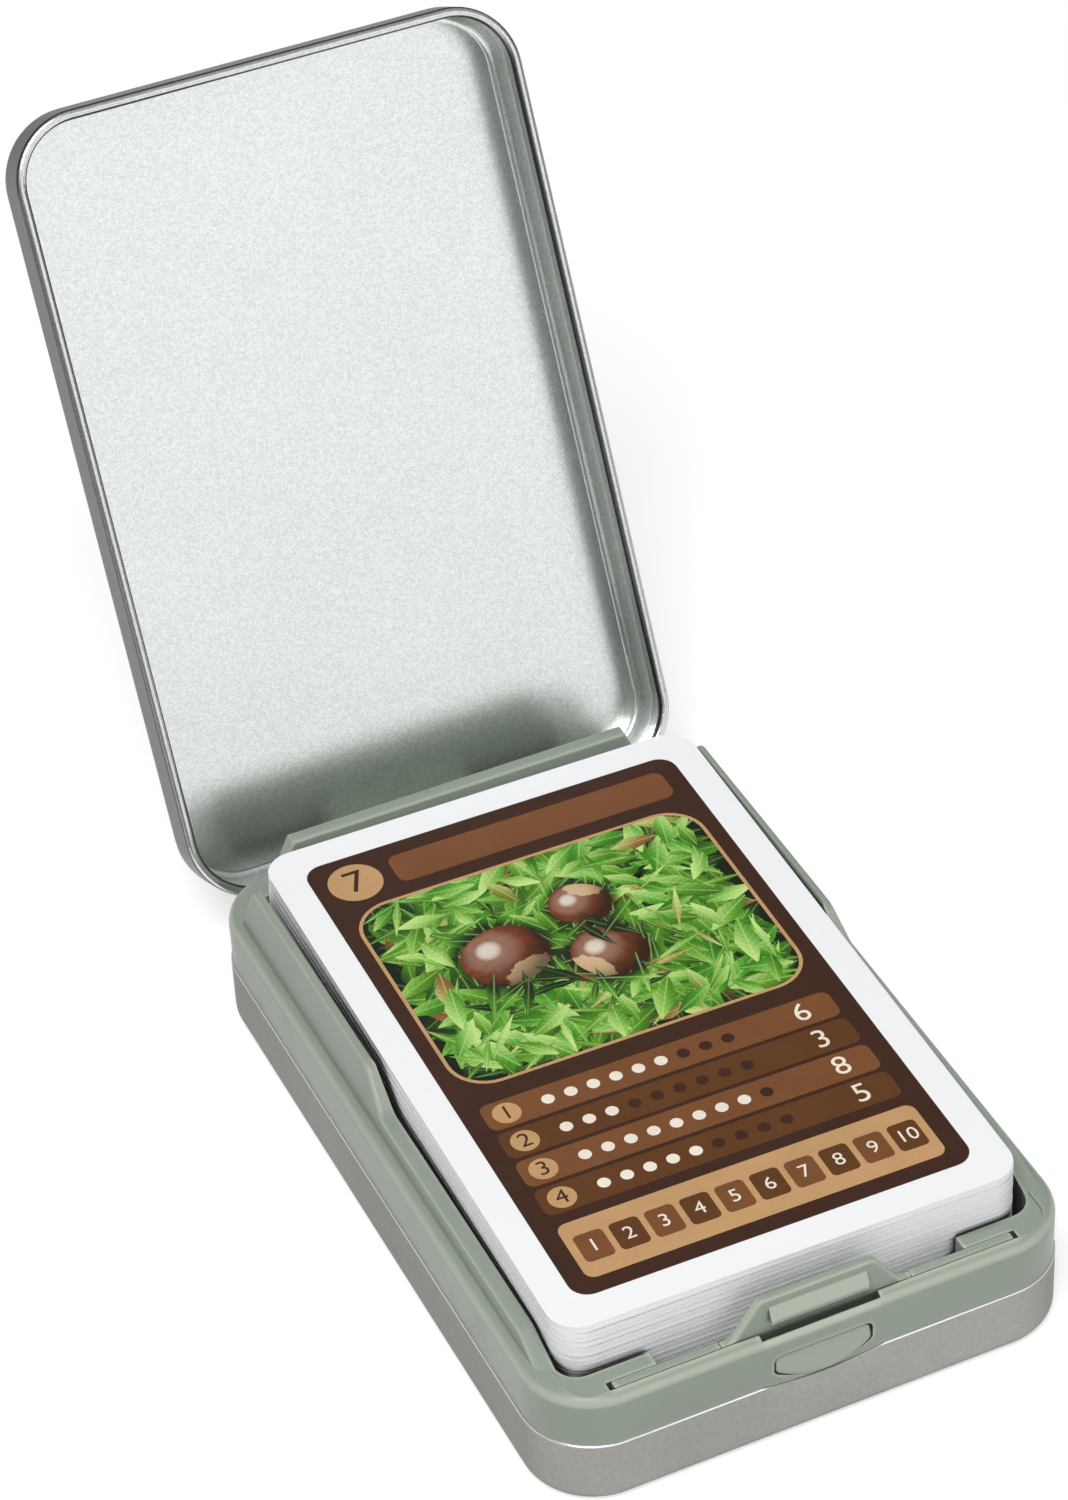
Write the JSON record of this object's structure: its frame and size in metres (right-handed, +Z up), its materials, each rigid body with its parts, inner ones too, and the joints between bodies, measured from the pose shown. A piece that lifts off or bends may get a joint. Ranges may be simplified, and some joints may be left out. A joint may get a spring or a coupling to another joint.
{
  "type": "card game tin",
  "caption": "Hinged tin with a moulded tray that holds a deck of cards; the lid turns on a wire pin and a sprung front latch is released by a button.",
  "frame": {"origin": "middle of the underside of the base pan", "axes": "+X to the right along the hinge, +Y to the rear towards the hinge, +Z up"},
  "size_m": [0.072, 0.1653, 0.1088],
  "materials": {
    "tinplate": "satin",
    "tray_plastic": "satin",
    "steel_wire": "drawn",
    "card_stock": "coated"
  },
  "bodies": {
    "base": {"base_pan": "tinplate", "tray_insert": "tray_plastic", "hinge_pin": "steel_wire", "latch_arm_left": "tray_plastic", "latch_arm_right": "tray_plastic", "card_01": "card_stock", "card_02": "card_stock", "card_03": "card_stock", "card_04": "card_stock", "card_05": "card_stock", "card_06": "card_stock", "card_07": "card_stock", "card_08": "card_stock", "card_09": "card_stock", "card_10": "card_stock", "card_11": "card_stock", "card_12": "card_stock", "card_13": "card_stock", "card_14": "card_stock", "card_15": "card_stock", "card_16": "card_stock", "card_17": "card_stock", "card_18": "card_stock", "card_19": "card_stock", "card_20": "card_stock", "card_21": "card_stock", "card_22": "card_stock", "card_23": "card_stock", "card_24": "card_stock", "card_25": "card_stock", "card_26": "card_stock", "card_27": "card_stock", "card_28": "card_stock", "card_29": "card_stock", "card_30": "card_stock", "card_31": "card_stock", "card_32": "card_stock", "card_33": "card_stock", "card_34": "card_stock", "card_35": "card_stock", "card_36": "card_stock", "card_37": "card_stock", "card_38": "card_stock", "card_39": "card_stock", "card_40": "card_stock", "card_41": "card_stock", "card_42": "card_stock", "card_43": "card_stock", "card_44": "card_stock"},
    "lid": {"lid_pan": "tinplate"},
    "latch": {"latch_tongue": "tray_plastic"},
    "button": {"release_button": "tray_plastic"}
  },
  "joints": [
    {"name": "lid_hinge", "type": "hinge", "parent": "base", "child": "lid", "pos_m": [0, 0.05309, 0.0143], "axis": [1, 0, 0], "range_deg": [0, 116.5]},
    {"name": "button_press", "type": "slide", "parent": "base", "child": "button", "axis": [0, 1, 0], "range_m": [0, 0.0009], "stiffness_N_per_m": 1000},
    {"name": "latch_flex", "type": "slide", "parent": "base", "child": "latch", "axis": [0, 1, 0], "range_m": [0, 0.0009], "deforming": ["latch_arm_left", "latch_arm_right"]}
  ],
  "couplings": [
    {"joint": "latch_flex", "follows": "button_press", "ratio": 1}
  ]
}
